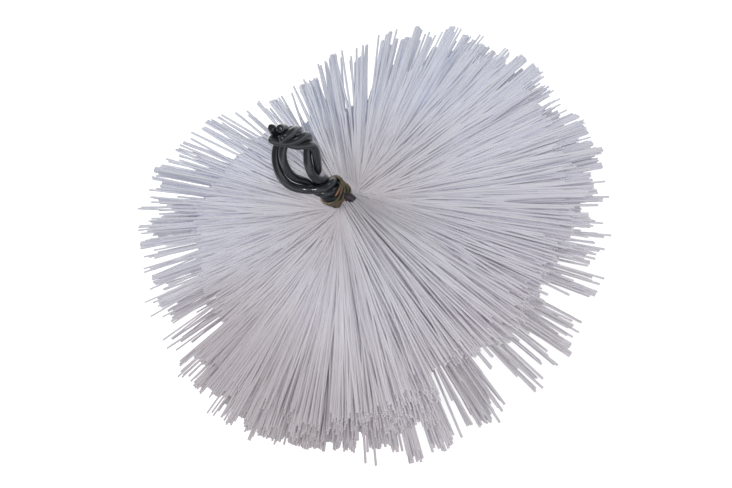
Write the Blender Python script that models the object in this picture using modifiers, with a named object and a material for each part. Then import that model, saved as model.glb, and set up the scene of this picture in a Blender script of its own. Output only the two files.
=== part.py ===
"""A chimney sweep brush: a dome of straight plastic bristles, tied across the middle of their bundle
with two thick wires that are twisted together above it into an eye for the pulling rope.
Metres, +Z up. The brush stands on its bristle tips, with the eye on top. The bundle lies along X
where the wires go round it, and its two ends fan out to +X and to -X."""

import math
import random

import bmesh
import bpy
import numpy as np
from mathutils import Matrix, Vector

# The dome of bristles
BRISTLE_REACH = 0.130
KNOT_HEIGHT = 0.118
FLOOR_CUT = 0.0005
FAN_ANGLE = math.radians(180)
FAN_LEVELS = ("upper", "side", "lower", "bottom")

# The waist of the bundle, where the wires hold it
WAIST_RADIUS = 0.012
LOBE_SWELL = 0.003
LOBE_RADIUS = WAIST_RADIUS + LOBE_SWELL
LOBE_OFFSET = 0.0070
MIDDLE_RADIUS = 0.0050
TURNING_STEPS = 24
LOBE_STEPS = 4
POLE_STEPS = 2
MERGE_DISTANCE = 0.0001

# The strands, each a lock of filaments
STRAND_STEP_ANGLE = math.radians(6.7)
KNEE_RISE = 0.0117
KNEE_ROWS = 3
CROWN_RISE_SHARE = 0.787
CROWN_STEP_ANGLE = math.radians(9.454)
CROWN_TILTS = (math.radians(-5.2), math.radians(0.8))
CROWN_BACK_RISE = math.radians(12)
CROWN_BACK_TURN = math.radians(130)
CROWN_BACK_SPREAD = math.radians(75)
STRAND_SIDES = 3
STRAND_ROOT_RADIUS = 0.00055
STRAND_TIP_RADIUS = 0.0016
STRAND_ROOT_DEPTH = 0.0015
SEAM_GAP = 0.0006
SEAM_PARTINGS = (0, math.radians(9), math.radians(12), 0)
LENGTH_SPREAD_SHARE = 0.09
TIP_SHIFT_SHARE = 0.22
SEED = 7

# The two thick wires
WIRE_DIAMETER = 0.0040
WIRE_GAP = 0.00045
WIRE_POINT_STEP = 0.0027
WIRE_CURVE_STEPS = 12
FIT_GAP = 0.0003
RING_EXIT = math.radians(150)
RING_STEPS = 9

# The neck, where the four wire ends are twisted above the bundle
NECK_ENTRY = 0.0052
NECK_ENTRY_SHARE = 0.2
NECK_RISE = 0.0028
NECK_SHIFT = (-0.0016, 0.0008)
NECK_LENGTH = 0.0165
NECK_LEAN = (-0.0049, 0.0000)
NECK_TURN = math.radians(-305)
NECK_RADIUS_SHARE = 1.025
NECK_STEPS = 10

# The eye. Its shares are of its width, depth and height, from the top of the neck, and of the half
# turn that a pair of wires makes on its way up
EYE_WIDTH = 0.0197
EYE_DEPTH = 0.0100
EYE_HEIGHT = 0.0280
EYE_YAW = math.radians(-35)
LEFT_LEG_SHARES = (
    (-0.50, 0.30, 0.26, 0.25),
    (-0.46, 0.50, 0.63, 0.52),
    (-0.28, 0.62, 0.91, 0.68),
    (0.00, 0.70, 1.07, 0.79),
    (0.30, 0.56, 1.14, 0.90),
)
RIGHT_LEG_SHARES = (
    (0.15, -0.25, 0.34, 0.25),
    (0.36, -0.30, 0.68, 0.50),
    (0.59, -0.20, 0.92, 0.75),
)
JUNCTION_SHARES = (0.50, -0.14, 1.00)

# The twisted end above the eye
TAIL_LENGTH = 0.0208
TAIL_LEAN = (-0.0100, -0.0042)
TAIL_LAY = 0.0360
TAIL_RADIUS_SHARE = 0.8625
TAIL_STEPS = 9
END_SPREAD_SHARES = (0.02, 0.07, -0.03, 0.05)

# Pressing the wires apart until no two touch
SETTLE_ROUNDS = 160
SETTLE_STEP = 0.0016
SETTLE_PUSH_SHARE = 0.5
SETTLE_SMOOTH_SHARE = 0.06
SETTLE_MARGIN = 0.0002

# The thin binding wire round the neck
BINDING_DIAMETER = 0.0010
BINDING_GAP = 0.00045
BINDING_TURNS = 4.25
BINDING_TURN_POINTS = 24
BINDING_START = 0.0008
BINDING_GRIP_SHARE = 0.6


def clear_scene():
    """Start from an empty scene."""
    for old in list(bpy.data.objects):
        bpy.data.objects.remove(old)


def new_collection(name, hidden=False):
    """A collection in the scene; one for cutters and guides isn't rendered."""
    made = bpy.data.collections.new(name)
    made.hide_render = hidden
    bpy.context.scene.collection.children.link(made)
    return made


def new_material(name, colour, roughness, metallic):
    """A plain surface finish."""
    made = bpy.data.materials.new(name)
    made.use_nodes = True
    shader = made.node_tree.nodes["Principled BSDF"]
    shader.inputs["Base Color"].default_value = (*colour, 1)
    shader.inputs["Roughness"].default_value = roughness
    shader.inputs["Metallic"].default_value = metallic
    return made


def new_object(name, data, collection):
    """An object in a collection."""
    made = bpy.data.objects.new(name, data)
    collection.objects.link(made)
    return made


# The bristle bundle


def lobe_arc():
    """The round outside of one lobe, as (x, radius) from its edge at the groove to its pole."""
    groove = groove_half_width()
    first = math.acos((groove - LOBE_OFFSET) / LOBE_RADIUS)
    turns = [first * (1 - step / LOBE_STEPS) for step in range(LOBE_STEPS + 1)]
    return [(LOBE_OFFSET + LOBE_RADIUS * math.cos(t), LOBE_RADIUS * math.sin(t)) for t in turns]


def groove_half_width():
    """Half of the groove that the pair of wires lies in."""
    return WIRE_DIAMETER + WIRE_GAP / 2 + FIT_GAP


def lobe_x(radius):
    """How far out along X a lobe's surface is at a radius."""
    return LOBE_OFFSET + math.sqrt(LOBE_RADIUS ** 2 - radius ** 2)


def turned_mesh(name, profile, closed):
    """A mesh turned round the X axis from an (x, radius) profile that runs from -X to +X outside."""
    guide = bpy.data.meshes.new(name + "_profile")
    points = [(radius, 0, -x) for x, radius in profile]
    edges = [(i, i + 1) for i in range(len(points) - 1)]
    if closed:
        edges.append((len(points) - 1, 0))
    guide.from_pydata(points, edges, [])
    made = new_object(name + "_profile", guide, GUIDES)
    screw = made.modifiers.new("turn", "SCREW")
    screw.steps = TURNING_STEPS
    screw.render_steps = TURNING_STEPS
    screw.use_merge_vertices = True
    screw.merge_threshold = MERGE_DISTANCE
    mesh = bpy.data.meshes.new_from_object(made.evaluated_get(bpy.context.evaluated_depsgraph_get()))
    bpy.data.objects.remove(made)
    bm = bmesh.new()
    bm.from_mesh(mesh)
    bmesh.ops.rotate(bm, verts=bm.verts, matrix=Matrix.Rotation(-math.pi / 2, 3, "Y"))
    bmesh.ops.remove_doubles(bm, verts=bm.verts, dist=MERGE_DISTANCE)
    bmesh.ops.recalc_face_normals(bm, faces=bm.faces)
    bm.to_mesh(mesh)
    bm.free()
    return mesh


def cut_flat(mesh, point, normal):
    """Take away what lies behind a plane and close the cut."""
    bm = bmesh.new()
    bm.from_mesh(mesh)
    everything = bm.verts[:] + bm.edges[:] + bm.faces[:]
    bmesh.ops.bisect_plane(bm, geom=everything, plane_co=point, plane_no=normal, clear_inner=True)
    bmesh.ops.holes_fill(bm, edges=[e for e in bm.edges if e.is_boundary])
    bmesh.ops.recalc_face_normals(bm, faces=bm.faces)
    bm.to_mesh(mesh)
    bm.free()


def round_direction(angle):
    """The direction at an angle round the X axis, from straight down towards +Y."""
    return Vector((0, math.sin(angle), -math.cos(angle)))


def sector_core(name, first, last):
    """The slice of the bundle between two angles round X, outside the middle tuft."""
    arc = lobe_arc()
    groove = groove_half_width()
    outside = [(x, r) for x, r in arc if r > MIDDLE_RADIUS + FIT_GAP]
    inner = MIDDLE_RADIUS + FIT_GAP
    half = [(groove, WAIST_RADIUS)] + outside + [(lobe_x(inner), inner)]
    profile = [(-x, r) for x, r in reversed(half)] + half
    mesh = turned_mesh(name, profile, closed=True)
    for angle, sign in ((first, 1), (last, -1)):
        inward = round_direction(angle + math.pi / 2) * sign
        cut_flat(mesh, inward * FIT_GAP / 2, inward)
    return mesh


def middle_core(name):
    """The round slice of the bundle along its axis, from pole to pole."""
    rim = math.asin(MIDDLE_RADIUS / LOBE_RADIUS)
    turns = [rim * (1 - step / POLE_STEPS) for step in range(POLE_STEPS + 1)]
    half = [(LOBE_OFFSET + LOBE_RADIUS * math.cos(t), LOBE_RADIUS * math.sin(t)) for t in turns]
    profile = [(-x, r) for x, r in reversed(half)] + half
    return turned_mesh(name, profile, closed=False)


def fan_rows(first, last):
    """Angles from the bundle's axis, a strand's step apart."""
    count = max(1, int((last - first) / STRAND_STEP_ANGLE + 0.5))
    return [first + (last - first) * row / count for row in range(count + 1)]


def fan_direction(from_axis, angle):
    """The direction at an angle from the +X axis and an angle round it."""
    return Vector((math.cos(from_axis), 0, 0)) + round_direction(angle) * math.sin(from_axis)


def shaken_reach(shaken):
    """A strand's reach from the knot: the tips of a real brush are uneven."""
    return BRISTLE_REACH * (1 - shaken.uniform(0, LENGTH_SPREAD_SHARE))


def strand_path(root, tip_direction, reach, kneed):
    """A strand's points: one that starts beside the wires closes over them at its knee."""
    tip = tip_direction * reach
    floor = -KNOT_HEIGHT - FLOOR_CUT
    if tip.z < floor:
        tip = root.lerp(tip, (floor - root.z) / (tip.z - root.z))
    if not kneed:
        return [root, tip]
    knee = tip_direction * (ring_radius() + WIRE_DIAMETER / 2 + KNEE_RISE)
    knee.x = max(knee.x, STRAND_ROOT_RADIUS + SEAM_GAP)
    return [root, knee, tip]


def mirrored(point, end, side):
    """A point of the quarter towards +X and +Y, carried over to the given end and side."""
    return point * Vector((end, side, 1))


def quarter_fan(level):
    """The strands of a tuft's +X half that fan out from the side of its lobe."""
    shaken = random.Random(SEED + (level or 0))
    slack = (STRAND_ROOT_RADIUS + FIT_GAP) / LOBE_RADIUS
    core = math.asin(MIDDLE_RADIUS / LOBE_RADIUS)
    width = FAN_ANGLE / 2 / len(FAN_LEVELS)
    if level is None:
        rows = fan_rows(STRAND_STEP_ANGLE / 2, core - slack)
        start, end = 0, FAN_ANGLE / 2
    else:
        seam = math.acos((STRAND_TIP_RADIUS + SEAM_GAP) / BRISTLE_REACH)
        rows = fan_rows(core + 2 * slack, seam - SEAM_PARTINGS[level])
        below = len(FAN_LEVELS) - 1 - level
        start, end = below * width, (below + 1) * width
    fan_centre = Vector((LOBE_OFFSET, 0, 0))
    shift = STRAND_STEP_ANGLE * TIP_SHIFT_SHARE
    strands = []
    for index, row in enumerate(rows):
        last = level is not None and index == len(rows) - 1
        kneed = level is not None and index >= len(rows) - KNEE_ROWS
        count = max(1, int(math.sin(row) * (end - start) / STRAND_STEP_ANGLE))
        for column in range(count):
            angle = start + (end - start) * (column + 0.5) / count
            aim = (fan_direction(row, angle) * BRISTLE_REACH - fan_centre).normalized()
            root = fan_centre + aim * (LOBE_RADIUS - STRAND_ROOT_DEPTH)
            tilt = shaken.uniform(-shift, 0 if last else shift)
            swing = shaken.uniform(-shift, shift)
            tip_direction = fan_direction(row + tilt, angle + swing)
            strands.append(strand_path(root, tip_direction, shaken_reach(shaken), kneed))
    return strands


def crown_rise(compass):
    """How much more steeply the crown stands towards a compass angle: it rises at the back left."""
    away = min(abs(compass - CROWN_BACK_TURN) / CROWN_BACK_SPREAD, 1)
    return CROWN_BACK_RISE * math.cos(away * math.pi / 2) ** 2


def quarter_crown(end, side):
    """The strands that leave the top of a lobe, almost level, above the fan, towards the given
    end of the bundle and the given side."""
    shaken = random.Random(SEED + len(FAN_LEVELS))
    rise = LOBE_RADIUS * CROWN_RISE_SHARE
    centre = Vector((LOBE_OFFSET, 0, rise))
    level_radius = math.sqrt(LOBE_RADIUS ** 2 - rise ** 2) - STRAND_ROOT_DEPTH
    edge = (STRAND_ROOT_RADIUS + FIT_GAP) / level_radius
    count = int((math.pi / 2 - 2 * edge) / CROWN_STEP_ANGLE)
    strands = []
    for column in range(count):
        angle = edge + (math.pi / 2 - 2 * edge) * (column + 0.5) / count
        root = centre + Vector((math.cos(angle), math.sin(angle), 0)) * level_radius
        compass = math.atan2(side * math.sin(angle), end * math.cos(angle))
        tilt = shaken.uniform(*CROWN_TILTS) + crown_rise(compass)
        across = math.cos(tilt) * math.cos(angle)
        reach = shaken_reach(shaken)
        tip = centre + Vector((across, math.cos(tilt) * math.sin(angle), math.sin(tilt))) * reach
        tip *= reach / tip.length
        strands.append([mirrored(root, end, side), mirrored(tip, end, side)])
    return strands


def add_strand(bm, points):
    """One strand, thin at the root and as thick as its lock of filaments at the tip."""
    whole = (points[-1] - points[0]).length
    radii = []
    for point in points:
        share = (point - points[0]).length / whole
        radii.append(STRAND_ROOT_RADIUS + (STRAND_TIP_RADIUS - STRAND_ROOT_RADIUS) * share)
    along = points[1] - points[0]
    turned = along.to_track_quat("Z", "Y").to_matrix().to_4x4()
    place = Matrix.Translation((points[0] + points[1]) / 2) @ turned
    made = bmesh.ops.create_cone(
        bm,
        cap_ends=True,
        segments=STRAND_SIDES,
        radius1=radii[0],
        radius2=radii[1],
        depth=along.length,
        matrix=place,
    )
    if len(points) == 2:
        return
    faces = {face for vert in made["verts"] for face in vert.link_faces}
    cap = max(faces, key=lambda face: (face.calc_center_median() - points[0]).length)
    tip = bmesh.ops.extrude_discrete_faces(bm, faces=[cap])["faces"][0]
    bend = along.rotation_difference(points[2] - points[1]).to_matrix()
    for vert in tip.verts:
        vert.co = points[2] + bend @ (vert.co - points[1]) * (radii[2] / radii[1])


def strand_bodies(name, level, sides):
    """All strands of a tuft as one guide object, at both ends of the bundle."""
    bm = bmesh.new()
    for end in (1, -1):
        for side in sides:
            for points in quarter_fan(level):
                add_strand(bm, [mirrored(point, end, side) for point in points])
            if level == 0:
                for points in quarter_crown(end, side):
                    add_strand(bm, points)
    mesh = bpy.data.meshes.new(name + "_strands")
    bm.to_mesh(mesh)
    bm.free()
    cut_flat(mesh, Vector((0, 0, -KNOT_HEIGHT)), Vector((0, 0, 1)))
    made = new_object(name + "_strands", mesh, GUIDES)
    made.display_type = "WIRE"
    made.hide_render = True
    return made


def count_strands():
    """How many strands the whole brush has."""
    tufts = sum(len(quarter_fan(level)) for level in range(len(FAN_LEVELS)))
    return 4 * (tufts + len(quarter_fan(None)) + len(quarter_crown(1, 1)))


def make_tuft(name, core, level, sides):
    """A lock of the bundle: its slice through the ring of wire, with its strands fused on."""
    tuft = new_object(name, core, PARTS)
    core.materials.append(BRISTLE)
    strands = strand_bodies(name, level, sides)
    strands.parent = KNOT
    fuse = tuft.modifiers.new("strands", "BOOLEAN")
    fuse.operation = "UNION"
    fuse.solver = "EXACT"
    fuse.object = strands
    tuft.parent = KNOT
    return tuft


def make_bundle():
    """The middle tuft, and four tufts in front and four at the back, from top to bottom."""
    middle = "bristle_tuft_middle"
    make_tuft(middle, middle_core(middle), None, (1, -1))
    width = FAN_ANGLE / 2 / len(FAN_LEVELS)
    print(f"bristles: {count_strands()} strands")
    for side, word in ((-1, "front"), (1, "back")):
        for level, place in enumerate(FAN_LEVELS):
            name = f"bristle_tuft_{word}_{place}"
            below = len(FAN_LEVELS) - 1 - level
            top = math.pi if level == 0 else (below + 1) * width
            low, high = sorted((side * below * width, side * top))
            make_tuft(name, sector_core(name, low, high), level, (side,))


# The thick wires


def ring_radius():
    """From the bundle's axis to the middle of the wires round it."""
    return WAIST_RADIUS + FIT_GAP + WIRE_DIAMETER / 2


def pair_half():
    """Half the distance between two wires that lie side by side."""
    return (WIRE_DIAMETER + WIRE_GAP) / 2


def neck_base():
    """Where the four wires meet above the bundle."""
    return Vector((*NECK_SHIFT, LOBE_RADIUS + NECK_RISE))


def neck_top():
    """Where the neck ends and the eye begins."""
    return neck_base() + Vector((*NECK_LEAN, NECK_LENGTH))


def ring_stations(side):
    """A wire pair from the bottom of the waist up one side and out of the groove: middle and half
    offset of the pair."""
    stations = []
    for step in range(RING_STEPS + 1):
        turn = RING_EXIT * step / RING_STEPS
        middle = round_direction(turn * side) * ring_radius()
        stations.append((middle, Vector((pair_half(), 0, 0))))
    entry = Vector((0, side * NECK_ENTRY, LOBE_RADIUS + NECK_RISE * NECK_ENTRY_SHARE))
    stations.append((entry, Vector((pair_half(), 0, 0))))
    return stations


def twist_stations(start, end, side, first_turn, turn, radius, steps, sign):
    """A pair that winds with the other pair about the line from start to end."""
    along = (end - start).normalized()
    across = (Vector((1, 0, 0)) - along * along.x).normalized()
    beside = along.cross(across)
    half = radius / math.sqrt(2)
    stations = []
    for step in range(steps + 1):
        angle = first_turn + side * math.pi / 2 + turn * step / steps
        outward = across * math.cos(angle) + beside * math.sin(angle)
        sideways = across * math.sin(angle) - beside * math.cos(angle)
        middle = start.lerp(end, step / steps) + outward * half
        stations.append((middle, sideways * side * sign * half))
    return stations


def leg_stations(side):
    """A pair along its side of the eye. It turns over by half on the way up."""
    shares = LEFT_LEG_SHARES if side > 0 else RIGHT_LEG_SHARES
    size = Vector((EYE_WIDTH, EYE_DEPTH, EYE_HEIGHT))
    stations = []
    for *share, turned in shares:
        angle = EYE_YAW + math.pi / 2 - math.pi * turned
        offset = Vector((math.cos(angle), math.sin(angle), 0)) * pair_half()
        stations.append((neck_top() + Vector(share) * size, offset))
    return stations


def tail_line():
    """The start and end of the middle of the twisted end."""
    size = Vector((EYE_WIDTH, EYE_DEPTH, EYE_HEIGHT))
    start = neck_top() + Vector(JUNCTION_SHARES) * size
    rise = math.sqrt(TAIL_LENGTH ** 2 - TAIL_LEAN[0] ** 2 - TAIL_LEAN[1] ** 2)
    return start, start + Vector((*TAIL_LEAN, rise))


def pair_stations(side):
    """A whole pair from the bottom of the waist to the twisted end."""
    stations = ring_stations(side)
    neck_radius = WIRE_DIAMETER * NECK_RADIUS_SHARE
    stations += twist_stations(
        neck_base(), neck_top(), side, 0, NECK_TURN, neck_radius, NECK_STEPS, 1
    )
    stations += leg_stations(side)
    start, end = tail_line()
    tail_turn = -2 * math.pi * TAIL_LENGTH / TAIL_LAY
    tail_radius = WIRE_DIAMETER * TAIL_RADIUS_SHARE
    stations += twist_stations(
        start, end, side, NECK_TURN, tail_turn, tail_radius, TAIL_STEPS, -1
    )
    return stations


def resample(points, step):
    """Points at an even step along a smooth curve through the given points."""
    points = np.array(points)
    padded = np.vstack([2 * points[0] - points[1], points, 2 * points[-1] - points[-2]])
    fine = []
    for i in range(1, len(padded) - 2):
        p0, p1, p2, p3 = padded[i - 1:i + 3]
        for t in np.linspace(0, 1, WIRE_CURVE_STEPS, endpoint=False):
            bend = (2 * p0 - 5 * p1 + 4 * p2 - p3) * t ** 2 + (3 * p1 - p0 - 3 * p2 + p3) * t ** 3
            fine.append((2 * p1 + (p2 - p0) * t + bend) / 2)
    fine.append(padded[-2])
    fine = np.array(fine)
    along = np.concatenate([[0], np.cumsum(np.linalg.norm(np.diff(fine, axis=0), axis=1))])
    count = max(2, round(along[-1] / step))
    places = np.linspace(0, along[-1], count + 1)
    return np.stack([np.interp(places, along, fine[:, axis]) for axis in range(3)], axis=1)


def wire_route(sign, spreads):
    """One wire's points: down one side from its end, round the waist and up the other side."""
    halves = []
    for side, spread in zip((1, -1), spreads):
        points = [middle + offset * sign for middle, offset in pair_stations(side)]
        last = points[-1] + (points[-1] - points[-2]).normalized() * TAIL_LENGTH * spread
        halves.append([tuple(p) for p in points[:-1]] + [tuple(last)])
    return resample(list(reversed(halves[0])) + halves[1][1:], SETTLE_STEP)


def settle_wires(routes):
    """Press the wires apart until they only just miss each other, as they lie in a tight twist."""
    points = np.vstack(routes)
    owner = np.concatenate([np.full(len(route), i) for i, route in enumerate(routes)])
    order = np.concatenate([np.arange(len(route)) for route in routes])
    spacing = WIRE_DIAMETER + WIRE_GAP + SETTLE_MARGIN
    own_skip = int(2 * spacing / SETTLE_STEP)
    near_self = (owner[:, None] == owner) & (abs(order[:, None] - order) <= own_skip)
    from_axis = np.linalg.norm(points[:, 1:], axis=1)
    free = (from_axis > LOBE_RADIUS + WIRE_DIAMETER / 2 + FIT_GAP) & (points[:, 2] > 0)
    inner = np.zeros(len(points), bool)
    inner[1:-1] = (owner[1:-1] == owner[2:]) & (owner[1:-1] == owner[:-2])
    inner &= free
    for _ in range(SETTLE_ROUNDS):
        apart = points[:, None, :] - points
        distance = np.linalg.norm(apart, axis=2)
        distance[near_self] = spacing
        lack = np.clip(spacing - distance, 0, None)
        push = (apart * (lack / np.maximum(distance, FIT_GAP))[:, :, None])
        worst = np.argmax(lack, axis=1)
        move = push[np.arange(len(points)), worst] * SETTLE_PUSH_SHARE
        points[free] += move[free]
        middle = np.zeros_like(points)
        middle[1:-1] = (points[2:] + points[:-2]) / 2 - points[1:-1]
        points[inner] += middle[inner] * SETTLE_SMOOTH_SHARE
    return [points[owner == i] for i in range(len(routes))]


def least_gap(first, second, diameter, skip):
    """The least gap between two lines of points, or of one line to itself past skip points."""
    distance = np.linalg.norm(first[:, None, :] - second, axis=2)
    if first is second:
        order = np.arange(len(first))
        distance[abs(order[:, None] - order) <= skip] = np.inf
    return float(distance.min()) - diameter


def make_tube(name, points, diameter, resolution, material):
    """A wire as a curve object with a round section and closed ends."""
    curve = bpy.data.curves.new(name, "CURVE")
    curve.dimensions = "3D"
    curve.bevel_depth = diameter / 2
    curve.bevel_resolution = resolution
    curve.use_fill_caps = True
    spline = curve.splines.new("POLY")
    spline.points.add(len(points) - 1)
    for place, point in zip(spline.points, points):
        place.co = (*point, 1)
    curve.materials.append(material)
    made = new_object(name, curve, PARTS)
    made.parent = KNOT
    return made


def make_eye_wires():
    """Two wires side by side, each unbroken from end to end."""
    first, second = END_SPREAD_SHARES[:2], END_SPREAD_SHARES[2:]
    routes = settle_wires([wire_route(1, first), wire_route(-1, second)])
    skip = int(2 * (WIRE_DIAMETER + WIRE_GAP) / SETTLE_STEP)
    for name, route in zip(("eye_wire_a", "eye_wire_b"), routes):
        gap = least_gap(route, route, WIRE_DIAMETER, skip)
        print(f"{name}: least gap to itself {gap * 1000:.3f} mm")
        make_tube(name, resample(route, WIRE_POINT_STEP), WIRE_DIAMETER, 2, STEEL)
    gap = least_gap(routes[0], routes[1], WIRE_DIAMETER, 0)
    print(f"eye_wire_a to eye_wire_b: least gap {gap * 1000:.3f} mm")
    return routes


def make_binding(routes):
    """The thin wire wound round the neck, close round the thick wires at every turn."""
    pitch = BINDING_DIAMETER + BINDING_GAP
    base = np.array(neck_base())
    axis = np.array(neck_top()) - base
    axis /= np.linalg.norm(axis)
    across = np.array((1.0, 0, 0)) - axis[0] * axis
    across /= np.linalg.norm(across)
    other = np.cross(axis, across)
    points = np.vstack(routes) - base
    along = points @ axis
    beside = points - along[:, None] * axis
    neck = np.linalg.norm(beside, axis=1) < 2 * WIRE_DIAMETER * NECK_RADIUS_SHARE
    clear = WIRE_DIAMETER / 2 + FIT_GAP + BINDING_DIAMETER / 2
    coil = []
    for step in range(int(BINDING_TURNS * BINDING_TURN_POINTS) + 1):
        angle = 2 * math.pi * step / BINDING_TURN_POINTS
        rise = BINDING_START + pitch * step / BINDING_TURN_POINTS
        outward = across * math.cos(angle) - other * math.sin(angle)
        held = neck & (abs(along - rise) < WIRE_DIAMETER * BINDING_GRIP_SHARE)
        coil.append(base + axis * rise + outward * ((beside[held] @ outward).max() + clear))
    coil = np.array(coil)
    gap = least_gap(coil, coil, BINDING_DIAMETER, BINDING_TURN_POINTS // 2)
    print(f"neck_binding: least gap to itself {gap * 1000:.3f} mm")
    wires = np.vstack(routes)
    near = np.linalg.norm(coil[:, None, :] - wires, axis=2).min() - clear + FIT_GAP
    print(f"neck_binding to the thick wires: least gap {near * 1000:.3f} mm")
    make_tube("neck_binding", coil, BINDING_DIAMETER, 1, RUSTY)


clear_scene()
PARTS = new_collection("chimney_sweep_brush")
GUIDES = new_collection("guides", hidden=True)
BRISTLE = new_material("white_bristle", (0.55, 0.55, 0.60), 0.45, 0.0)
STEEL = new_material("annealed_wire", (0.035, 0.040, 0.045), 0.45, 0.8)
RUSTY = new_material("rusty_binding_wire", (0.10, 0.075, 0.035), 0.7, 0.6)
KNOT = bpy.data.objects.new("knot", None)
PARTS.objects.link(KNOT)
KNOT.location = (0, 0, KNOT_HEIGHT)
make_bundle()
make_binding(make_eye_wires())
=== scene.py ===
import math

import bmesh
import bpy
import numpy as np
from mathutils import Matrix, Vector


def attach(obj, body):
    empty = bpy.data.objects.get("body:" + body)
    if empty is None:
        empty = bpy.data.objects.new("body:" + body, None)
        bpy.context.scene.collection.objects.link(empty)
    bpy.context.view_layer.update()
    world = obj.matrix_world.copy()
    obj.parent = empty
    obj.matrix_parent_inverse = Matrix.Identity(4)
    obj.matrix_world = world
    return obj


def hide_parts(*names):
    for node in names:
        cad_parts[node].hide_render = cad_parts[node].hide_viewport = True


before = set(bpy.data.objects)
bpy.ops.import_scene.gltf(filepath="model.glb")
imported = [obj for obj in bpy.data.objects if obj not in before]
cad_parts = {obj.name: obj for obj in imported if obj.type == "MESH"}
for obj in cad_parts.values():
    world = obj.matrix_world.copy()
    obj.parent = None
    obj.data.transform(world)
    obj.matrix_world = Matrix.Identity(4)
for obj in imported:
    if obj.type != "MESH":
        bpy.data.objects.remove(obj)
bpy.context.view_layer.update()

# The camera. It looks along +Y and 45 degrees down at the brush and is rolled, so that the wire eye points
# to the picture's upper left. The bundle's middle is seen a little above and left of the picture's centre.
PICTURE = (732, 488)
SENSOR_WIDTH = 36
FOCAL_PIXELS = 1440
KNOT = Vector((0, 0, 0.118))
KNOT_PIXEL = (358, 213)
CAMERA_DISTANCE = 0.75
CAMERA_RISE = math.radians(45)
CAMERA_ROLL = math.radians(40)

toward_camera = Vector((0, -math.cos(CAMERA_RISE), math.sin(CAMERA_RISE)))
level_right = Vector((1, 0, 0))
level_up = toward_camera.cross(level_right)
right = level_right * math.cos(CAMERA_ROLL) - level_up * math.sin(CAMERA_ROLL)
up = level_right * math.sin(CAMERA_ROLL) + level_up * math.cos(CAMERA_ROLL)
off_right = KNOT_PIXEL[0] - PICTURE[0] / 2
off_up = PICTURE[1] / 2 - KNOT_PIXEL[1]
shift = (right * off_right + up * off_up) * CAMERA_DISTANCE / FOCAL_PIXELS
lens = bpy.data.cameras.new("camera")
lens.sensor_width = SENSOR_WIDTH
lens.lens = SENSOR_WIDTH * FOCAL_PIXELS / PICTURE[0]
camera = bpy.data.objects.new("camera", lens)
camera.matrix_world = Matrix((right, up, toward_camera)).transposed().to_4x4()
camera.location = KNOT + toward_camera * CAMERA_DISTANCE - shift
bpy.context.scene.collection.objects.link(camera)
bpy.context.scene.camera = camera


# The bristles. The real brush is a bundle of straight, milky plastic filaments, cut to about one length and
# held by the wires across their middle, so that both ends fan out into a dome. The filaments lie in locks
# with gaps between their tips. Here each filament runs in one piece through the ring of wire.
ROOT = "root"
FILAMENTS = 9000
FILAMENT_RADIUS = 0.00066
WAIST = 0.0115
REACH = 0.1245
SHAKE_SEED = 11


def smooth_step(value, low, high):
    """Rises smoothly from 0 at the low value to 1 at the high one."""
    share = np.clip((value - low) / (high - low), 0, 1)
    return share * share * (3 - 2 * share)


def unit(vectors):
    """The vectors at a length of 1."""
    return vectors / np.linalg.norm(vectors, axis=-1, keepdims=True)


def outward(turn):
    """The direction straight out of the bundle. Turns go round it from below, and front ones are negative."""
    return np.stack([0 * turn, np.sin(turn), -np.cos(turn)], axis=1)


# The fan. Above the crown's turn the filaments lie nearly level and droop a little, and some that start
# above the side lie across the crown.
CROWN_TURN = math.radians(130)
CROWN_LEVEL = math.radians(89)
CROWN_LIFT = math.radians(2)
CROWN_DROOP_FRONT = math.radians(11)
CROWN_DROOP_BACK = math.radians(5)
ACROSS_TURN = math.radians(110)
ACROSS_SHARE = 0.15

# How far the fan opens to the seam between its two ends, by the turn, in degrees
SEAM_TURNS = (0, 28, 42, 80, 105, 130, 155, 180)
SEAM_ANGLES = (88, 88, 87.5, 87, 88, 92, 90, 60)


def fan_out(share, turn, end, shaken):
    """Directions of the filaments at one end, from where they lie in the waist."""
    size = abs(turn)
    droop = np.where(turn < 0, CROWN_DROOP_FRONT, CROWN_DROOP_BACK) * shaken.uniform(size=len(turn))
    in_crown = np.where(size > CROWN_TURN, CROWN_LIFT - droop, 0)
    around = np.sign(turn) * (np.minimum(size / CROWN_TURN, 1) * CROWN_LEVEL + in_crown)
    seam = np.radians(np.interp(np.degrees(size), SEAM_TURNS, SEAM_ANGLES))
    spread = np.arccos(1 - share ** 2 * (1 - np.cos(seam)))
    across_crown = (size > ACROSS_TURN) & (shaken.uniform(size=len(turn)) < ACROSS_SHARE)
    spread = np.where(across_crown, spread * shaken.uniform(size=len(turn)), spread)
    sideways = np.sin(spread)
    return np.stack([end * np.cos(spread), sideways * np.sin(around), -sideways * np.cos(around)], axis=1)


# How high the topmost filaments rise, by compass angle from +X towards +Y, in degrees
RIM_COMPASS = (-180, -140, -115, -90, -60, -30, 0, 25, 40, 50, 75, 88, 98, 110, 130, 150, 180)
RIM_RISE = (6, 3, -1, -4, -4, -2, 2, 4, 3, -1, -2, 2, 6, 12, 16, 11, 6)


def lift_rim(aim):
    """Raise the fan's edge by a different amount all round, as the brush stands in the photograph."""
    compass = np.arctan2(aim[:, 1], aim[:, 0])
    rise = np.radians(np.interp(np.degrees(compass), RIM_COMPASS, RIM_RISE))
    from_down = np.arccos(np.clip(-aim[:, 2], -1, 1)) * (1 + rise / (math.pi / 2))
    flat = np.sin(from_down)
    return np.stack([flat * np.cos(compass), flat * np.sin(compass), -np.cos(from_down)], axis=1)


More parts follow.
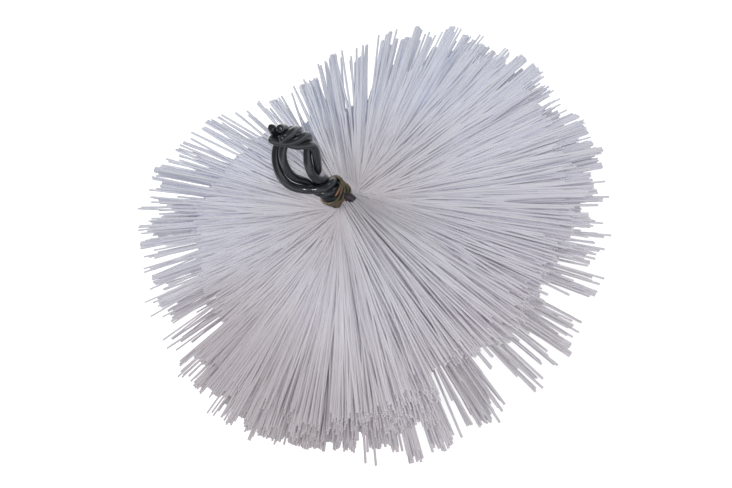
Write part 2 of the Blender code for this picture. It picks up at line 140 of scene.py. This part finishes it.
# The rim, by the angle from +X across the front of the dome: how far most filaments reach there and how far
# the long ones do, both in millimetres, the shares of locks and of single filaments that are long, and how
# tightly the locks close
ANGLE, MOST, FARTHEST, LONG_LOCKS, LONG_SINGLES, TIGHTNESS = range(6)
RIM = (
    (-220, 92, 121, 0.08, 0.07, 0.3),
    (-208, 97, 123, 0.14, 0.08, 0.3),
    (-200, 106, 123, 0.25, 0.08, 0.4),
    (-190, 111, 123, 0.35, 0.08, 0.5),
    (-174, 114, 124, 0.45, 0.06, 0.5),
    (-160, 115, 125, 0.45, 0.05, 0.6),
    (-133, 115, 124, 0.45, 0.04, 0.6),
    (-120, 117, 129, 0.40, 0.04, 0.7),
    (-110, 113, 132, 0.25, 0.03, 0.8),
    (-106, 88, 134, 0.04, 0.02, 0.8),
    (-95, 88, 135, 0.01, 0.025, 0.8),
    (-81, 97, 135, 0.03, 0.04, 0.8),
    (-70, 96, 134, 0.05, 0.04, 0.8),
    (-60, 98, 132, 0.10, 0.03, 0.8),
    (-50, 104, 130, 0.12, 0.03, 0.7),
    (-42, 107, 128, 0.16, 0.03, 0.8),
    (-30, 111, 127, 0.22, 0.03, 0.6),
    (-20, 112, 121, 0.45, 0.03, 0.5),
    (10, 112, 119, 0.55, 0.03, 0.4),
    (18, 107, 117, 0.45, 0.04, 0.7),
    (29, 88, 111, 0.35, 0.04, 1.0),
    (38, 77, 108, 0.30, 0.04, 1.0),
    (50, 64, 98, 0.28, 0.04, 1.0),
    (62, 60, 94, 0.25, 0.04, 1.0),
    (72, 61, 90, 0.20, 0.05, 0.8),
    (85, 64, 85, 0.20, 0.05, 0.7),
    (95, 69, 92, 0.18, 0.05, 0.6),
    (107, 74, 101, 0.14, 0.05, 0.5),
    (118, 78, 110, 0.10, 0.07, 0.4),
    (130, 84, 117, 0.08, 0.07, 0.3),
    (140, 92, 121, 0.08, 0.07, 0.3),
)
MILLIMETRES = 1000

# Where the rim starts and where it is full, as shares of how far the long filaments reach
RIM_ZONE = (0.74, 0.97)


def rim_values(aim, column):
    """A column of the rim's table for each direction."""
    table = np.array(RIM)
    across = np.degrees(np.arctan2((aim[:, 1] + aim[:, 2]) / math.sqrt(2), aim[:, 0]))
    return np.interp(across, table[:, ANGLE], table[:, column])


def across_front(aim):
    """The length of each direction across the front of the dome."""
    return np.sqrt(aim[:, 0] ** 2 + (aim[:, 1] + aim[:, 2]) ** 2 / 2)


def rim_share(aim):
    """How near each filament's end lies to the rim of the fan."""
    edge = rim_values(aim, FARTHEST) / MILLIMETRES
    return smooth_step(across_front(aim) * REACH, edge * RIM_ZONE[0], edge * RIM_ZONE[1])


# The locks: how many filaments there are to each, how strongly they are drawn together, inside the fan and
# at its rim, and how far all filaments and the stray ones are shaken out of line
LOCK_STEP = 20
LOCK_PULL = (0.3, 0.9)
PULL_INSIDE = 0.04
PULL_AT_RIM = 0.96
SHAKEN = 0.020
STRAY_SHAKEN = 0.030
STRAY_SHARE = 0.04


def gather(aim, shaken):
    """Draw directions together in locks. Returns the directions and each filament's lock."""
    centres = aim[shaken.permutation(len(aim))[:len(aim) // LOCK_STEP]]
    lock = np.argmax(aim @ centres.T, axis=1)
    tightness = PULL_INSIDE + PULL_AT_RIM * rim_share(aim) * rim_values(aim, TIGHTNESS)
    amount = shaken.uniform(*LOCK_PULL, len(centres))[lock] * tightness
    return unit(aim + (centres[lock] - aim) * amount[:, None]), lock


def shake_out(aim, shaken):
    """The directions of all filament ends, gathered in locks, with some that stray, and their locks."""
    aim = lift_rim(unit(aim + shaken.normal(size=aim.shape) * SHAKEN))
    stray = shaken.uniform(size=len(aim)) < STRAY_SHARE
    gathered, lock = gather(aim, shaken)
    loose = unit(aim + shaken.normal(size=aim.shape) * STRAY_SHAKEN)
    return np.where(stray[:, None], loose, gathered), lock


# The cut: by what share a lock, and a single filament, is shorter than the rim's table says, for most and
# for long ones, how ragged the dome's own surface is, and by what share long ones at the rim stand out of it
LOCK_CUT = 0.07
SINGLE_CUT = 0.05
LONG_LOCK_CUT = 0.09
LONG_SINGLE_CUT = 0.06
RAGGED_SINGLE = 0.13
RAGGED_LOCK = 0.03
RAGGED_LONG = 0.5
LONG_EXTRA = 0.08

# No filament is longer than this or reaches below the plane on which the brush stands. The least values
# keep the sums in bounds for filaments that point straight out of the front, or lie level.
LONGEST = 0.1335
FLOOR_REACH = 0.1174
LEAST_ACROSS = 0.2
LEAST_DOWN = 0.01


def trimmed_reach(aim, lock, shaken):
    """How far each filament reaches from the knot: the brush is cut by hand and uneven."""
    count = lock.max() + 1
    chance, cut = shaken.uniform(size=(2, count))[:, lock]
    own_chance, own_cut = shaken.uniform(size=(2, len(aim)))
    across = np.maximum(across_front(aim), LEAST_ACROSS) * MILLIMETRES
    long = (chance < rim_values(aim, LONG_LOCKS)) | (own_chance < rim_values(aim, LONG_SINGLES))
    most = rim_values(aim, MOST) * (1 - LOCK_CUT * cut - SINGLE_CUT * own_cut)
    far = rim_values(aim, FARTHEST) * (1 - LONG_LOCK_CUT * cut ** 2 - LONG_SINGLE_CUT * own_cut ** 3)
    ragged = np.minimum(1 - rim_values(aim, MOST) / rim_values(aim, FARTHEST), RAGGED_SINGLE)
    uneven = (ragged * own_cut + RAGGED_LOCK * cut) * np.where(long, RAGGED_LONG, 1)
    uneven = uneven - long * rim_share(aim) * LONG_EXTRA
    limit = REACH * (1 - uneven)
    reach = np.minimum(np.where(long, far, most) / across, limit)
    down = np.maximum(-aim[:, 2], LEAST_DOWN)
    return np.minimum(np.minimum(reach, FLOOR_REACH / down), LONGEST)


# The way out of the ring of wire: a filament leaves it along the bundle, bends over a shoulder and runs on
# straight, with a little waver halfway to its tip
RING_HALF = 0.0046
LOBE_BEND = 0.0042
SHOULDER = 0.0040
FIRST_ALONG = 0.0016
FIRST_SHARE = 0.25
ONWARD = (0.005, 0.010)
WAVER = 0.0011

# The fold over the ring, for filaments that spread this far, in degrees. It fades out under the neck,
# by the turn, and rises a little before it. The folds lie in layers over one another, and the knee, where
# a filament leaves its fold, lies between the seam and the ring's edge.
FOLD_SPREAD = (62, 78)
FOLD_ENDS = (158, 167)
FOLD_FOOT_ALONG = 0.0048
FOLD_FOOT_OUT = 0.0122
FOLD_RADIUS = 0.0173
FOLD_ROUND = 0.0012
FOLD_LAYERS = 0.0016
NECK_RISE = 0.0019
NECK_TURNS = (145, 160)
KNEE_SHARE = 0.8
KNEE_SPREAD = 89.5
SEAM_HALF = 0.0004


def half_paths(middle, turn, aim, reach, end, shaken):
    """Points of every filament from the waist to its tip at one end."""
    along = np.array((end, 0, 0))
    tip = aim * reach[:, None]
    leave = middle + along * RING_HALF
    heading = unit(tip - leave)
    shoulder = leave + along * (LOBE_BEND * (1 - heading[:, 0] * end))[:, None] + heading * SHOULDER
    first = leave + along * FIRST_ALONG + (shoulder - leave) * FIRST_SHARE
    onward = unit(tip - shoulder)
    free = [first, shoulder, shoulder + onward * ONWARD[0], shoulder + onward * ONWARD[1]]

    # A filament near the seam comes up the side of the ring of wire and folds over it
    size = np.degrees(abs(turn))
    spread = np.degrees(np.arccos(np.clip(aim[:, 0] * end, -1, 1)))
    fold = smooth_step(spread, *FOLD_SPREAD) * (1 - smooth_step(size, *FOLD_ENDS))
    top = FOLD_RADIUS + NECK_RISE * smooth_step(size, *NECK_TURNS)
    top = top + FOLD_LAYERS * shaken.uniform(size=len(turn)) ** 2
    knee_slope = np.tan(np.radians(np.minimum(spread, KNEE_SPREAD)))
    knee_along = np.clip((top + FOLD_ROUND) * KNEE_SHARE / knee_slope, SEAM_HALF, RING_HALF)
    same = np.ones(len(turn))
    fold_points = (
        (FOLD_FOOT_ALONG * same, FOLD_FOOT_OUT * same),
        (RING_HALF * same, top - FOLD_ROUND),
        ((knee_along + RING_HALF) / 2, top),
        (knee_along, top + FOLD_ROUND),
    )
    points = [leave]
    for plain, (far_along, far_out) in zip(free, fold_points):
        over = along * far_along[:, None] + outward(turn) * far_out[:, None]
        points.append(plain + (over - plain) * fold[:, None])
    halfway = (points[-1] + tip) / 2 + shaken.normal(size=tip.shape) * WAVER
    return points + [halfway, tip]


# A filament's tone comes in part from its lock and in part is its own
LOCK_TONE = 0.55
OWN_TONE = 0.45


def bristle_paths():
    """Every filament from tip to tip, its tone at each end, and where it lies in the waist."""
    shaken = np.random.default_rng(SHAKE_SEED)

    # Turning by the golden angle from one filament to the next fills the waist evenly
    count = np.arange(FILAMENTS)
    share = np.sqrt((count + 0.5) / FILAMENTS)
    turn = (count * math.pi * (3 - math.sqrt(5)) + math.pi) % (2 * math.pi) - math.pi
    middle = outward(turn) * (share * WAIST)[:, None]
    aims, lock = shake_out(np.vstack([fan_out(share, turn, end, shaken) for end in (-1, 1)]), shaken)
    reach = trimmed_reach(aims, lock, shaken)
    left = half_paths(middle, turn, aims[:FILAMENTS], reach[:FILAMENTS], -1, shaken)
    right = half_paths(middle, turn, aims[FILAMENTS:], reach[FILAMENTS:], 1, shaken)
    paths = np.stack(list(reversed(left)) + right, axis=1) + np.array(KNOT)
    lock_tone = shaken.uniform(size=lock.max() + 1)[lock]
    tones = LOCK_TONE * lock_tone + OWN_TONE * shaken.uniform(size=len(lock))
    return paths, tones.reshape(2, FILAMENTS).T, share, turn


def lock_mesh(name, paths, tones):
    """Round filaments along the given paths, with cut ends, as one mesh. Both ends have their own tone."""
    curve = bpy.data.curves.new(name, "CURVE")
    curve.dimensions = "3D"
    curve.bevel_depth = FILAMENT_RADIUS
    curve.bevel_resolution = 0
    curve.use_fill_caps = True
    for path in paths:
        spline = curve.splines.new("POLY")
        spline.points.add(len(path) - 1)
        spline.points.foreach_set("co", np.column_stack([path, np.ones(len(path))]).ravel())
    holder = bpy.data.objects.new(name + "_path", curve)
    bpy.context.scene.collection.objects.link(holder)
    mesh = bpy.data.meshes.new_from_object(holder.evaluated_get(bpy.context.evaluated_depsgraph_get()))
    bpy.data.objects.remove(holder)
    mesh.name = name
    places = np.zeros(len(mesh.vertices) * 3, np.float32)
    mesh.vertices.foreach_get("co", places)
    out = np.linalg.norm(places.reshape(-1, 3) - np.array(KNOT), axis=1) / REACH
    tones = np.repeat(tones.ravel(), len(mesh.vertices) // tones.size)
    for layer_name, values in (("tone", tones), ("out", out)):
        layer = mesh.attributes.new(layer_name, "FLOAT", "POINT")
        layer.data.foreach_set("value", values.astype(np.float32))
    mesh.polygons.foreach_set("use_smooth", np.ones(len(mesh.polygons), bool))
    return mesh


class Socket:
    """An output of a shader node that can be used in sums. Numbers join in as constants."""

    def __init__(self, tree, output):
        self.tree = tree
        self.output = output

    @staticmethod
    def node(tree, kind, settings, inputs, out=0):
        """Add any node: its settings first, then the values or links of its inputs. Returns one output."""
        made = tree.nodes.new(kind)
        for name, value in settings.items():
            if name == "stops":
                ramp = made.color_ramp
                while len(ramp.elements) < len(value):
                    ramp.elements.new(1)
                for element, (place, colour) in zip(ramp.elements, value):
                    element.position = place
                    element.color = (*colour, 1)
            else:
                setattr(made, name, value)
        for key, value in inputs.items():
            if isinstance(value, Socket):
                tree.links.new(value.output, made.inputs[key])
            elif isinstance(value, tuple):
                made.inputs[key].default_value = (*value, 1)
            else:
                made.inputs[key].default_value = value
        return Socket(tree, made.outputs[out])

    def feed(self, shader, name):
        """Link this output to one of the shader's sockets."""
        self.tree.links.new(self.output, shader.inputs[name])

    def math(self, operation, other):
        """A Math node on this value and another one."""
        return Socket.node(self.tree, "ShaderNodeMath", {"operation": operation}, {0: self, 1: other})

    def clamped(self):
        """This value, held between 0 and 1."""
        return self.math("MAXIMUM", 0).math("MINIMUM", 1)

    def __add__(self, other):
        return self.math("ADD", other)

    def __sub__(self, other):
        return self.math("SUBTRACT", other)

    def __rsub__(self, other):
        return self * -1 + other

    def __mul__(self, other):
        return self.math("MULTIPLY", other)

    __radd__ = __add__
    __rmul__ = __mul__


def finish_material(name, metallic, specular=0.5, roughness=0.5):
    """A plain surface finish, with its nodes and its Principled shader."""
    made = bpy.data.materials.new(name)
    made.use_nodes = True
    shader = made.node_tree.nodes["Principled BSDF"]
    shader.inputs["Roughness"].default_value = roughness
    shader.inputs["Metallic"].default_value = metallic
    shader.inputs["Specular IOR Level"].default_value = specular
    return made, made.node_tree, shader


def mix_colour(tree, factor, first, second, blend="MIX"):
    """Blend two colours. The colours of a Mix node are its inputs 6 and 7, and its output 2."""
    settings = {"data_type": "RGBA", "blend_type": blend}
    return Socket.node(tree, "ShaderNodeMix", settings, {"Factor": factor, 6: first, 7: second}, out=2)


# The milky plastic, with painted light and shade. Painted light makes it lighter and cooler up and to the
# right, painted shade makes it duller near the knot and at the lower left, and each filament is a little
# lighter or darker.
SHADED_WARM_MILK = (0.912, 0.872, 0.915)
LIT_COOL_MILK = (0.905, 0.924, 1.0)
KNOT_SHADE_MILK = (0.805, 0.77, 0.81)
LOW_LEFT_SHADE_MILK = (0.76, 0.708, 0.735)
DARK_TONE = (0.94, 0.94, 0.943)
LIGHT_TONE = (1.0, 1.0, 1.0)
LIT_UP = 4.3
LIT_RIGHT = 2.9
LIT_AT_KNOT = 0.57
KNOT_ZONE = 0.16
KNOT_FADE = 2.6
LEFT_FADE = -25.0
LEFT_START = 1.1
LOW_FADE = 20.0
LOW_LEFT_SHADE_SHARE = 0.9

bristle_finish, tree, shader = finish_material("milky_bristle", metallic=0.0, specular=0.35)
tone = Socket.node(tree, "ShaderNodeAttribute", {"attribute_name": "tone"}, {}, out="Fac")
out = Socket.node(tree, "ShaderNodeAttribute", {"attribute_name": "out"}, {}, out="Fac")
place = Socket.node(tree, "ShaderNodeTexCoord", {}, {}, out="Object")
split = {}
for axis in "XYZ":
    split[axis] = Socket.node(tree, "ShaderNodeSeparateXYZ", {}, {"Vector": place}, out=axis)
height = split["Y"] + split["Z"] - KNOT.z
# Painted light: the share of the lighter, bluer colour grows upwards and to the right, as if lit from there
painted_light_share = (height * LIT_UP + split["X"] * LIT_RIGHT + LIT_AT_KNOT).clamped()
# Painted shade: the plastic turns darker and warmer near the knot, where the filaments crowd together
knot_shade = (1.0 - (out - KNOT_ZONE) * KNOT_FADE).clamped()
# Painted shade: the plastic is darker and warmer at the lower left, as if less lit there
left = (split["X"] * LEFT_FADE - LEFT_START).clamped()
low = (1.0 - height * LOW_FADE).clamped()
# Painted light and shade over the plastic's colour: lit above and to the right, shaded near the knot and at
# the lower left
milk_with_light_and_shade = mix_colour(tree, painted_light_share, SHADED_WARM_MILK, LIT_COOL_MILK)
milk_with_light_and_shade = mix_colour(tree, knot_shade, milk_with_light_and_shade, KNOT_SHADE_MILK)
milk_with_light_and_shade = mix_colour(tree, left * low * LOW_LEFT_SHADE_SHARE, milk_with_light_and_shade, LOW_LEFT_SHADE_MILK)
light = mix_colour(tree, tone, DARK_TONE, LIGHT_TONE)
mix_colour(tree, 1.0, milk_with_light_and_shade, light, "MULTIPLY").feed(shader, "Base Color")

# The locks of filaments: one in the middle of the waist and four levels of turns in front and at the back
MIDDLE_SHARE = 0.30
LEVEL_NAMES = ("bottom", "lower", "side", "upper")

paths, tones, share, turn = bristle_paths()
levels = np.minimum((abs(turn) / math.pi * len(LEVEL_NAMES)).astype(int), len(LEVEL_NAMES) - 1)
locks = {"middle": share < MIDDLE_SHARE}
for side, word in ((-1, "front"), (1, "back")):
    for level, level_name in enumerate(LEVEL_NAMES):
        chosen = (share >= MIDDLE_SHARE) & (levels == level) & (np.sign(turn) == side)
        locks[f"{word}_{level_name}"] = chosen
for lock_name, chosen in locks.items():
    mesh = lock_mesh("bristles_" + lock_name, paths[chosen], tones[chosen])
    mesh.materials.append(bristle_finish)
    lock = bpy.data.objects.new("bristles_" + lock_name, mesh)
    bpy.context.scene.collection.objects.link(lock)
    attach(lock, ROOT)
    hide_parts("bristle_tuft_" + lock_name)


# The two thick wires. They are soft annealed steel with a dark, slightly greasy mill scale. They lie side
# by side round the bundle and through the neck, and are twisted together above the eye.
WIRE_FATTEN = 0.00042
SCALE_DARK = (0.006, 0.009, 0.010)
SCALE_PALE = (0.045, 0.049, 0.060)
LEAST_ROUGH = 0.16
PATCHES_ROUGH = 0.20
FINE_ROUGH = 0.12
MERGE_DISTANCE = 0.00002


def blotches(tree, place, scale, detail):
    """A soft, uneven pattern on the piece."""
    inputs = {"Vector": place, "Scale": scale, "Detail": detail, "Roughness": 0.6}
    return Socket.node(tree, "ShaderNodeTexNoise", {}, inputs)


def rounded_copy(name, source, fatten):
    """A smooth round copy of a faceted wire, made thicker first by what the rounding takes off."""
    bm = bmesh.new()
    bm.from_mesh(source.data)
    bmesh.ops.remove_doubles(bm, verts=bm.verts, dist=MERGE_DISTANCE)
    bmesh.ops.join_triangles(
        bm, faces=bm.faces, angle_face_threshold=0.7, angle_shape_threshold=0.9
    )
    bm.normal_update()
    for vert in bm.verts:
        vert.co += vert.normal * fatten
    for face in bm.faces:
        face.smooth = True
    mesh = bpy.data.meshes.new(name)
    bm.to_mesh(mesh)
    bm.free()
    made = bpy.data.objects.new(name, mesh)
    bpy.context.scene.collection.objects.link(made)
    round_off = made.modifiers.new("round", "SUBSURF")
    round_off.levels = 2
    round_off.render_levels = 2
    return made


wire_finish, tree, shader = finish_material("dark_annealed_wire", metallic=0.4, specular=0.2)
shader.inputs["Coat Weight"].default_value = 0.7
shader.inputs["Coat Roughness"].default_value = 0.10
place = Socket.node(tree, "ShaderNodeTexCoord", {}, {}, out="Object")
patches = blotches(tree, place, scale=160.0, detail=4.0)
fine = blotches(tree, place, scale=900.0, detail=3.0)
mix_colour(tree, patches, SCALE_DARK, SCALE_PALE).feed(shader, "Base Color")
rough = patches * PATCHES_ROUGH + fine * FINE_ROUGH + LEAST_ROUGH
rough.feed(shader, "Roughness")
bump_inputs = {"Strength": 0.2, "Distance": 0.0002, "Height": fine}
Socket.node(tree, "ShaderNodeBump", {}, bump_inputs).feed(shader, "Normal")

for name in ("eye_wire_a", "eye_wire_b"):
    wire = rounded_copy("round_" + name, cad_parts[name], WIRE_FATTEN)
    wire.data.materials.append(wire_finish)
    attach(wire, ROOT)
    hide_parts(name)


# The bend of wire. Where the thick wire comes out of the bundle, just beyond the binding, a short bend of
# it, dark brown with soot and rust, lies on the bristles.
BEND_RADIUS = 0.0021
BEND_ROUTE = (
    (-0.0008, -0.0036, 0.0208),
    (0.0004, -0.0062, 0.0212),
    (0.0016, -0.0083, 0.0203),
    (0.0025, -0.0095, 0.0180),
)
SOOT = (0.020, 0.014, 0.018)
SOOTY_RUST = (0.075, 0.055, 0.065)

bend_finish, tree, shader = finish_material("sooty_wire", metallic=0.3)
place = Socket.node(tree, "ShaderNodeTexCoord", {}, {}, out="Object")
patches = blotches(tree, place, scale=300.0, detail=3.0)
mix_colour(tree, patches, SOOT, SOOTY_RUST).feed(shader, "Base Color")
curve = bpy.data.curves.new("wire_bend", "CURVE")
curve.dimensions = "3D"
curve.bevel_depth = BEND_RADIUS
curve.bevel_resolution = 4
curve.use_fill_caps = True
spline = curve.splines.new("NURBS")
spline.points.add(len(BEND_ROUTE) - 1)
spline.use_endpoint_u = True
spline.order_u = 3
for point, place in zip(spline.points, BEND_ROUTE):
    point.co = (*(KNOT + Vector(place)), 1)
bend = bpy.data.objects.new("wire_bend", curve)
bpy.context.scene.collection.objects.link(bend)
curve.materials.append(bend_finish)
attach(bend, ROOT)


# The binding. A thin annealed wire, gone olive brown with rust, wound by hand round the neck over the
# four thick wires.
BINDING_FATTEN = 0.00040
RUST_STOPS = (
    (0.38, (0.036, 0.033, 0.020)),
    (0.46, (0.105, 0.095, 0.055)),
    (0.53, (0.17, 0.130, 0.085)),
    (0.60, (0.21, 0.110, 0.07)),
)

binding_finish, tree, shader = finish_material("rusty_binding_wire", metallic=0.3, roughness=0.42)
place = Socket.node(tree, "ShaderNodeTexCoord", {}, {}, out="Object")
patches = blotches(tree, place, scale=240.0, detail=3.0)
rust = Socket.node(tree, "ShaderNodeValToRGB", {"stops": RUST_STOPS}, {0: patches})
rust.feed(shader, "Base Color")
binding = rounded_copy("round_neck_binding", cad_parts["neck_binding"], BINDING_FATTEN)
binding.data.materials.append(binding_finish)
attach(binding, ROOT)
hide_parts("neck_binding")


# The studio: a pale floor that the brush stands on, a small lamp by the camera, a strong one behind, weak
# ones low in front and at the side, and an even surround.
FLOOR_HALF = 6
FLOOR_COLOUR = (0.80, 0.80, 0.80, 1)
FLOOR_GLOW = 0.75

# The lamps: name, place, width and watts. They all point at the knot.
LAMPS = (
    ("key_lamp", (0.03, -1.13, 1.25), 0.25, 7.9),
    ("low_lamp", (-0.2, -1.4, 0.4), 0.8, 1.1),
    ("back_lamp", (-0.7, 1.1, 0.9), 0.6, 8.0),
    ("side_lamp", (1.2, -0.1, 0.9), 0.14, 1.1),
)
SURROUND_COLOUR = (0.95, 0.97, 1.0, 1)
SURROUND_STRENGTH = 0.30

floor_mesh = bpy.data.meshes.new("floor")
bm = bmesh.new()
bmesh.ops.create_grid(bm, x_segments=1, y_segments=1, size=FLOOR_HALF)
bm.to_mesh(floor_mesh)
bm.free()
floor = bpy.data.objects.new("floor", floor_mesh)
bpy.context.scene.collection.objects.link(floor)

# The floor looks brighter to the camera and in gloss than the light that it throws on the brush
floor_finish, tree, shader = finish_material("white_floor", metallic=0.0, specular=0.1, roughness=0.9)
shader.inputs["Base Color"].default_value = FLOOR_COLOUR
rays = []
for ray in ("Camera", "Glossy", "Transmission"):
    rays.append(Socket.node(tree, "ShaderNodeLightPath", {}, {}, out=f"Is {ray} Ray"))
seen = rays[0].math("MAXIMUM", rays[1]).math("MAXIMUM", rays[2])
plain = Socket(tree, shader.outputs["BSDF"])
glow = Socket.node(tree, "ShaderNodeEmission", {}, {"Strength": FLOOR_GLOW})
bright = Socket.node(tree, "ShaderNodeAddShader", {}, {0: plain, 1: glow})
shown = Socket.node(tree, "ShaderNodeMixShader", {}, {0: seen, 1: plain, 2: bright})
shown.feed(tree.nodes["Material Output"], "Surface")
floor.data.materials.append(floor_finish)

for name, place, size, watts in LAMPS:
    lamp = bpy.data.lights.new(name, "AREA")
    lamp.shape = "SQUARE"
    lamp.size = size
    lamp.energy = watts
    stand = bpy.data.objects.new(name, lamp)
    stand.location = place
    stand.rotation_mode = "QUATERNION"
    stand.rotation_quaternion = (Vector(place) - KNOT).to_track_quat("Z", "Y")
    bpy.context.scene.collection.objects.link(stand)

world = bpy.data.worlds.new("surround")
world.use_nodes = True
world.node_tree.nodes["Background"].inputs["Color"].default_value = SURROUND_COLOUR
world.node_tree.nodes["Background"].inputs["Strength"].default_value = SURROUND_STRENGTH
bpy.context.scene.world = world
bpy.context.scene.view_settings.view_transform = "Standard"
bpy.context.scene.cycles.diffuse_bounces = 12
